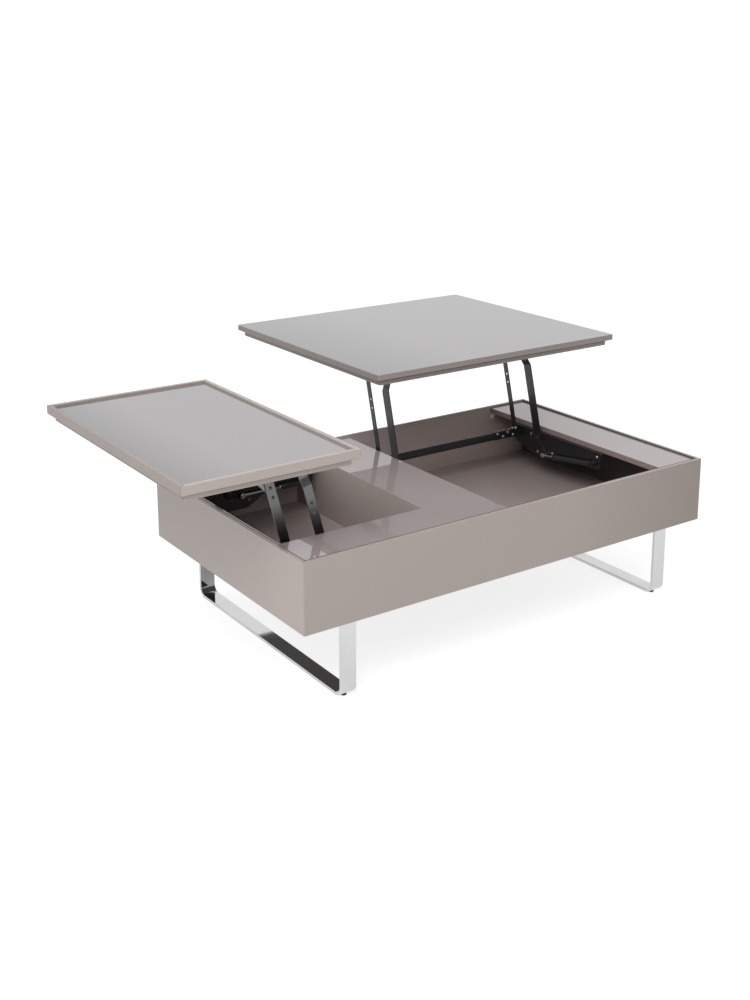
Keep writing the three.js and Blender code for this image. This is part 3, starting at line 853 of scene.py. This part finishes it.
class Lift:
    """One lift: its pivots come from the frame's joints, and its sides from the arms' own boxes."""

    def __init__(self, name, lid, travel, across, sides, **sizes):
        self.name = name
        self.lid = lid
        self.sides = sides
        self.sizes = sizes
        self.frame = drawn_along(travel, Z, across)
        self.second = self.pivot(f"{name}_second_arms_pivot")
        self.main = self.pivot(f"{name}_main_arms_pivot")
        self.post = self.pivot(f"{name}_strut_pivot")
        reach = self.pivot(f"{lid}_pivot") - self.second
        self.arm_length = reach.length
        self.lean = math.atan2(-reach.x, reach.y)
        self.upper_main = self.main + reach
        along = self.frame.inverted().to_3x3() @ Vector(JOINTS[f"{name}_strut_slide"]["axis"])
        self.strut_turn = math.atan2(along.y, along.x)
        rod_end = self.node_box(f"strut_rod_{sides[0]}")[1].x
        self.strut_length = (rod_end - EYE_RADIUS - self.post.x) / math.cos(self.strut_turn)

    def pivot(self, joint):
        place = self.frame.inverted() @ (Vector(JOINTS[joint]["pos_m"]) / MM)
        return place.to_2d()

    def node_box(self, node):
        corners = [self.frame.inverted() @ corner for corner in box_mm(f"{self.name}_{node}")]
        low = Vector(map(min, *corners))
        high = Vector(map(max, *corners))
        return low, high

    def side(self, index):
        """The matrix that brings (x, y, layer) of one side to the world."""
        low, high = self.node_box(f"main_arm_{self.sides[index]}")
        if index == 0:
            return self.frame @ Matrix.Translation((0, 0, low.z - MAIN_ARM_LAYER[0]))
        return self.frame @ Matrix.Translation((0, 0, high.z + MAIN_ARM_LAYER[0])) @ MIRRORED


def at(place, turn=0.0, layer=0.0):
    """A move to a place in a side's plane, turned about it."""
    return Matrix.Translation((place[0], place[1], layer)) @ Matrix.Rotation(turn, 4, "Z")


def drilled(outline, holes, layers, edge=STEEL_EDGE):
    """A steel plate in the given layers, with round holes given as (x, y, radius)."""
    return prism(outline, [circle(*hole, 20) for hole in holes], *layers, edge)


def rivet(radius, low, high, dome, head_radius):
    """A shank from low to high along Z, with a domed head on it."""
    top = high + dome
    return turned([
        (0, low), (radius, low), (radius, high), (head_radius - 0.4, high), (head_radius, high + 0.3 * dome),
        (head_radius * 0.86, high + 0.68 * dome), (head_radius * 0.55, top - 0.08 * dome),
        (head_radius * 0.3, top), (0, top),
    ])


def jogged(bm, start, end, shift):
    """Steps a plate sideways between two heights, in a smooth double bend."""
    steps = 10
    for k in range(steps + 1):
        y = start + (end - start) * k / steps
        everything = bm.verts[:] + bm.edges[:] + bm.faces[:]
        bmesh.ops.bisect_plane(bm, geom=everything, plane_co=(0, y, 0), plane_no=Y)
    for vert in bm.verts:
        share = max(0, min(1, (vert.co.y - start) / (end - start)))
        vert.co.z += shift * share * share * (3 - 2 * share)
    return bm


def base_plate_web(lift, low, high):
    """The plate on the box's wall: narrow by the strut's post, and deep under the arms' pivots."""
    pivot = lift.main
    bottom = pivot.y - WEB_DEPTH
    outline = rounded([
        (low.x, high.y), (low.x, lift.post.y - POST_MARGIN),
        (pivot.x + WAIST_PLACE, pivot.y - lift.sizes["waist"]), (pivot.x + DEEP_START, bottom),
        (pivot.x + DEEP_END, bottom), (high.x, pivot.y - TIP_DEPTH), (high.x, high.y),
    ], [3, 12, 20, 16, 22, 18, 3])
    return prism(outline, [], *PLATE_LAYER, 0.8)


def stop_place(lift):
    """The stop stud's middle, beside the raised main arm."""
    reach = (lift.sizes["main_width"] / 2 + STOP_GAP) / math.sin(math.pi / 2 + lift.lean - STOP_ANGLE)
    return lift.main + Vector((math.cos(STOP_ANGLE), math.sin(STOP_ANGLE))) * reach


def add_base_plate(lift, index):
    """A web with the lower pivots, the strut's post and the stop stud, and on most sides a top flange."""
    side = lift.sides[index]
    matrix = lift.side(index)
    low, high = lift.node_box(f"base_plate_{side}")
    top = high.y
    parts = [(base_plate_web(lift, low, high), STILL)]
    if lift.sizes["flanges"][index]:
        flange = prism(rectangle(low.x, high.x, -FLANGE, 0, 4), [], top - STEEL, top, STEEL_EDGE)
        parts.append((flange, drawn_along(X, Z, Y)))
    spacer = turned([(0, -1), (9.5, -1), (9.5, 1), (8, 1.8), (8, 8.6), (5, 8.6), (5, 11.6), (0, 11.6)])
    post = turned([
        (0, -1), (8.5, -1), (8.5, 0.8), (6.5, 1.6), (6.5, 4.2), (4, 4.2), (4, 12.8), (6, 12.8), (6.5, 13.4),
        (6.2, 14.6), (4.5, 15), (0, 15),
    ])
    stud = turned([(0, -1), (4, -1), (4, 4.4), (3.4, 5), (0, 5)])
    parts += [(spacer, at(lift.second)), (post, at(lift.post)), (stud, at(stop_place(lift)))]
    parts.append((rivet(5, 0, 4.4, 2.6, 8), at(lift.main)))
    add_piece(f"{lift.name}_base_plate_{side}_finished", merged(parts), matrix, BASE, "black_steel",
              [f"{lift.name}_base_plate_{side}"])

    bright = [(socket_screw(4.6, 0.9), at(place)) for place in lift.sizes["flat_bolts"]]
    for place in [
        (low.x + 14, top - 11), (lift.main.x - 62, lift.main.y - 30), (lift.main.x + 34, top - 11),
        (high.x - 10, lift.main.y - 10),
    ]:
        bright.append((socket_screw(4.2, 2.2), at(place)))
    add_piece(f"{lift.name}_base_screws_{side}", merged(bright), matrix, BASE, "chrome",
              material=lift.sizes["screws"])


def add_arms(lift, index):
    """A main arm with the lever that the strut pushes, and a plain second arm."""
    side = lift.sides[index]
    sizes = lift.sizes
    matrix = lift.side(index)
    length = lift.arm_length
    pivot = (0, 0, PIVOT_HOLE)
    ends = [pivot, (0, length, PIVOT_HOLE)]

    holes = ends + [(0, y, sizes["hole"]) for y in sizes["main_holes"]]
    blank = drilled(strip(length, sizes["main_width"]), holes, MAIN_ARM_LAYER)
    shift = SECOND_ARM_LAYER[0] - MAIN_ARM_LAYER[0]
    main = jogged(blank, length - JOG_START, length - JOG_END, shift)
    lever_turn = math.radians(sizes["lever_angle"] - 90) - lift.lean
    lever = drilled(strip(sizes["lever_radius"], LEVER_WIDTH), [pivot], MAIN_ARM_LAYER)
    hub = drilled(circle(0, 0, HUB_RADIUS, 36), [pivot], (MAIN_ARM_LAYER[0] - 0.1, MAIN_ARM_LAYER[1] + 0.1))
    parts = [(main, STILL), (lever, at((0, 0), lever_turn)), (hub, STILL)]
    add_piece(f"{lift.name}_main_arm_{side}_finished", merged(parts), matrix @ at(lift.main, lift.lean),
              f"{lift.name}_main_arms", "black_steel", [f"{lift.name}_main_arm_{side}"],
              material=sizes["steel"])

    holes = ends + [(0, y, sizes["hole"]) for y in sizes["second_holes"]]
    second = drilled(strip(length, sizes["second_width"]), holes, SECOND_ARM_LAYER)
    add_piece(f"{lift.name}_second_arm_{side}_finished", second, matrix @ at(lift.second, lift.lean),
              f"{lift.name}_second_arms", "black_steel", [f"{lift.name}_second_arm_{side}"],
              material=sizes["steel"])


def add_lid_bracket(lift, index):
    """A cheek that holds both upper pivots, drawn about the main arm's, and a flange under the lid."""
    side = lift.sides[index]
    low, high = lift.node_box(f"lid_bracket_{side}")
    span = lift.second.x - lift.main.x
    top = high.y - lift.upper_main.y
    left = low.x - lift.upper_main.x
    right = high.x - lift.upper_main.x
    foot = -lift.sizes["drop"]
    cheek = rounded([
        (left, top), (-13, -6), (-6, -13), (6, -13), (15, -4), (span - 15, -4), (span - 8, foot),
        (span + lift.sizes["toe"], foot), (right, top),
    ], [1, 4, 6, 6, 5, 5, 2.5, 2.5, 1])
    reach = BRACKET_LAYER[1] + FLANGE
    flange = prism(rectangle(left, right, BRACKET_LAYER[0], reach, 4), [], top - STEEL, top, STEEL_EDGE)
    parts = [(prism(cheek, [], *BRACKET_LAYER, STEEL_EDGE), STILL), (flange, drawn_along(X, Z, Y))]
    matrix = lift.side(index) @ at(lift.upper_main)
    add_piece(f"{lift.name}_lid_bracket_{side}_finished", merged(parts), matrix, lift.lid, "black_steel",
              [f"{lift.name}_lid_bracket_{side}"], material=lift.sizes["bracket_steel"])

    # The rivets' heads are on the far side of the arms from the bracket.
    bright = [(rivet(5, -14, -8.6, 2.4, 8), at((x, 0)) @ MIRRORED) for x in (0, span)]
    for x in (left + 12, span / 2, right - 16):
        place = (x, top - STEEL, BRACKET_LAYER[1] + FLANGE / 2)
        bright.append((socket_screw(4, 2.4), drawn_along(X, Z, -Y, place)))
    add_piece(f"{lift.name}_lid_rivets_{side}", merged(bright), matrix, lift.lid, "chrome", material=ZINC)


def add_strut(lift, index):
    """A gas strut: a tube with an eye on the post, a bright gland, and a rod with an eye at the lever."""
    side = lift.sides[index]
    end = BODY_START + lift.sizes["strut_body"]
    along = Matrix.Translation((0, 0, sum(STRUT_LAYER) / 2)) @ Matrix.Rotation(math.pi / 2, 4, "Y")
    matrix = lift.side(index) @ at(lift.post, lift.strut_turn)
    body = f"{lift.name}_strut_bodies"
    rods = f"{lift.name}_strut_rods"
    r = STRUT_RADIUS
    tube = turned([
        (0, BODY_START - 1), (r - 3, BODY_START - 1), (r - 1, BODY_START), (r, BODY_START + 1.5),
        (r, end - 14), (r - 0.7, end - 13.2), (r - 0.7, end - 11.6), (r, end - 10.8),
        (r, end - 2.5), (r - 0.8, end - 1), (r - 2, end), (0, end),
    ], 32)
    eye = drilled(circle(0, 0, EYE_RADIUS, 30), [(0, 0, EYE_HOLE)], STRUT_LAYER, 1.0)
    neck_sides = (STRUT_LAYER[0] + 1, STRUT_LAYER[1] - 1)
    neck = prism(rectangle(5, BODY_START + 3, -4.5, 4.5, 1), [], *neck_sides, 0.8)
    parts = [(tube, along), (eye, STILL), (neck, STILL)]
    add_piece(f"{lift.name}_strut_body_{side}_finished", merged(parts), matrix, body, "black_steel",
              [f"{lift.name}_strut_body_{side}"])
    gland = turned([(0, end - 1), (5.4, end - 1), (5.4, end + 1.6), (4.8, end + 2.4), (0, end + 2.4)])
    add_piece(f"{lift.name}_strut_gland_{side}", gland, matrix @ along, body, "chrome", material=ZINC)

    length = lift.strut_length
    collar = ROD_RADIUS + 1
    rod = turned([
        (0, ROD_START), (ROD_RADIUS, ROD_START), (ROD_RADIUS, length - 16), (collar, length - 15.4),
        (collar, length - 6), (0, length - 6),
    ], 20)
    eye = drilled(circle(length, 0, EYE_RADIUS, 30), [], STRUT_LAYER, 1.0)
    add_piece(f"{lift.name}_strut_rod_{side}_finished", merged([(rod, along), (eye, STILL)]), matrix, rods,
              "chrome", [f"{lift.name}_strut_rod_{side}"], material=DARK_CHROME)
    bolt_place = at((length, 0), 0.4, STRUT_LAYER[1] - 0.1)
    add_piece(f"{lift.name}_strut_bolt_{side}", hex_bolt(5, 3.4), matrix @ bolt_place, rods, "chrome",
              material=ZINC)


def add_cross_bar(lift):
    """A bar between the second arms, with a bolted saddle at each end and, on one lift, a clamp."""
    first, last = (lift.node_box(f"second_arm_{side}") for side in lift.sides)
    start = first[1].z + 0.3
    end = last[0].z - 0.3
    section = rectangle(-BAR_DEPTH, BAR_DEPTH, -BAR_HEIGHT, BAR_HEIGHT, 2.6, 5)
    parts = [(prism(section, [], start, end, 0.5), STILL)]
    bright = []
    saddle = rectangle(-12, 12, -14, 16, 4)
    for low, face, out in ((start, start + SADDLE_STEEL, 1), (end - SADDLE_STEEL, end - SADDLE_STEEL, -1)):
        parts.append((prism(saddle, [], low, low + SADDLE_STEEL, 0.6), STILL))
        for x in (-SADDLE_BOLT[0], SADDLE_BOLT[0]):
            outwards = Matrix.Diagonal((1, 1, out, 1))
            bright.append((hex_bolt(3.4, 3), at((x, SADDLE_BOLT[1]), 0.3, face) @ outwards))
    if lift.sizes["clamp"]:
        front = BAR_DEPTH + CLAMP_SKIN
        top = BAR_HEIGHT + CLAMP_SKIN
        clamp = rectangle(-front, front, -top, top, 3, 5)
        parts.append((prism(clamp, [], end - CLAMP_SPAN[0], end - CLAMP_SPAN[1], 0.5), STILL))
        for k in range(CLAMP_BOLTS):
            along = end - 14 - CLAMP_PITCH * k
            bright.append((hex_bolt(3.2, 2.6), drawn_along(Z, Y, -X, (-front, (-5, 5)[k % 2], along))))
            bright.append((hex_bolt(3, 2.4), drawn_along(Z, X, Y, (0, top, along - 6))))
    matrix = lift.frame @ at(lift.second, lift.lean)
    body = f"{lift.name}_second_arms"
    add_piece(f"{lift.name}_cross_bar_finished", merged(parts), matrix, body, "black_steel",
              [f"{lift.name}_cross_bar"])
    add_piece(f"{lift.name}_cross_bar_bolts", merged(bright), matrix, body, "chrome", material=ZINC)


def add_lifts():
    # Holes are heights up an arm, and flat bolts are places on the base plate. The drop and the toe shape
    # the foot of the lid bracket's gusset, and the waist is the depth of the base plate's web there.
    right = Lift(
        "right_lift", "right_lid", Y, X, ("left", "right"), flanges=(False, True), main_width=31,
        second_width=18, main_holes=(), second_holes=(155, 180), hole=3.3, lever_angle=235, lever_radius=52,
        strut_body=156, drop=13, toe=6, waist=40, flat_bolts=((120, 297),), clamp=True,
        steel=FINISHES["black_steel"], bracket_steel=FINISHES["black_steel"], screws=ZINC,
    )
    # The left lift's arm and bracket finishes are lighter copies of the black steel: painted light and shade.
    left = Lift(
        "left_lift", "left_lid", -X, Y, ("front", "back"), flanges=(True, True), main_width=24,
        second_width=24, main_holes=(102, 127), second_holes=(160, 185), hole=4, lever_angle=198,
        lever_radius=39, strut_body=76, drop=56, toe=-2, waist=14, flat_bolts=(), clamp=False,
        steel=SATIN_STEEL_PAINTED_LIGHT, bracket_steel=LIT_BRACKET_STEEL, screws=DARK_CHROME,
    )
    for lift in (right, left):
        add_cross_bar(lift)
        for index in (0, 1):
            add_base_plate(lift, index)
            add_arms(lift, index)
            add_lid_bracket(lift, index)
            add_strut(lift, index)


# ---- small fittings ----
# A ledge bracket's wall, and half the thickness of its rib.
LEDGE_WALL = 3.5
LEDGE_RIB = 1.2
# A ledge bracket's screws: how far out along each leg, and how far in from its side.
LEDGE_SCREW_OUT = 12
LEDGE_SCREW_IN = 3.8


def add_ledge_brackets():
    """Two moulded angle brackets under the right ledge, each with a rib and two screws."""
    for end, inwards in (("front", 1), ("back", -1)):
        node = f"ledge_bracket_{end}"
        low, high = box_mm(node)
        corner = low.y if inwards > 0 else high.y
        width = high.x - low.x
        leg = high.z - low.z
        profile = rounded([
            (0, 0), (leg, 0), (leg, -LEDGE_WALL), (7.5, -LEDGE_WALL), (LEDGE_WALL, -7.5), (LEDGE_WALL, -leg),
            (0, -leg),
        ], [0.6, 1.4, 1.4, 2, 2, 1.4, 1.4])
        rib = rounded([(3, -3), (leg - 3, -3), (3, 3 - leg)], [0.3, 0.5, 0.5])
        parts = [
            (prism(profile, [], 0, width, 0.7), STILL),
            (prism(rib, [], width / 2 - LEDGE_RIB, width / 2 + LEDGE_RIB, 0.4), STILL),
        ]
        place = drawn_along(Y * inwards, Z, X, (low.x, corner, high.z))
        add_piece(f"{node}_finished", merged(parts), place, BASE, "plastic", [node])
        down = drawn_along(X, Z, -Y, (LEDGE_SCREW_OUT, -LEDGE_WALL, LEDGE_SCREW_IN))
        out = drawn_along(Y, Z, X, (LEDGE_WALL, -LEDGE_SCREW_OUT, width - LEDGE_SCREW_IN))
        screws = [(socket_screw(2.9, 1.6), move) for move in (down, out)]
        add_piece(f"{node}_screws", merged(screws), place, BASE, "chrome", material=ZINC)


def add_leg_screws():
    """Screw heads under each leg's top bar."""
    for side in ("left", "right"):
        low, high = box_mm(f"{side}_leg")
        middle = (low.x + high.x) / 2
        places = [Matrix.Translation((middle, y, high.z - LEG_BAR)) for y in LEG_SCREWS]
        screws = [(socket_screw(5.5, 2.6), place @ MIRRORED) for place in places]
        add_piece(f"{side}_leg_screws", merged(screws), STILL, BASE, "chrome", material=ZINC)


def dress_nodes():
    """Gives each CAD node its slot's finish too, although a finished piece stands for every one of them."""
    slots = {s["node"]: s["material_slot"] for s in frame["record"]["subparts"]}
    for name, node in frame["nodes"].items():
        node.data.materials.clear()
        node.data.materials.append(FINISHES[slots[name]])


add_studio()
dress_nodes()
add_box()
add_inner_boards()
add_deck()
add_legs()
add_lids()
add_lifts()
add_ledge_brackets()
add_leg_screws()
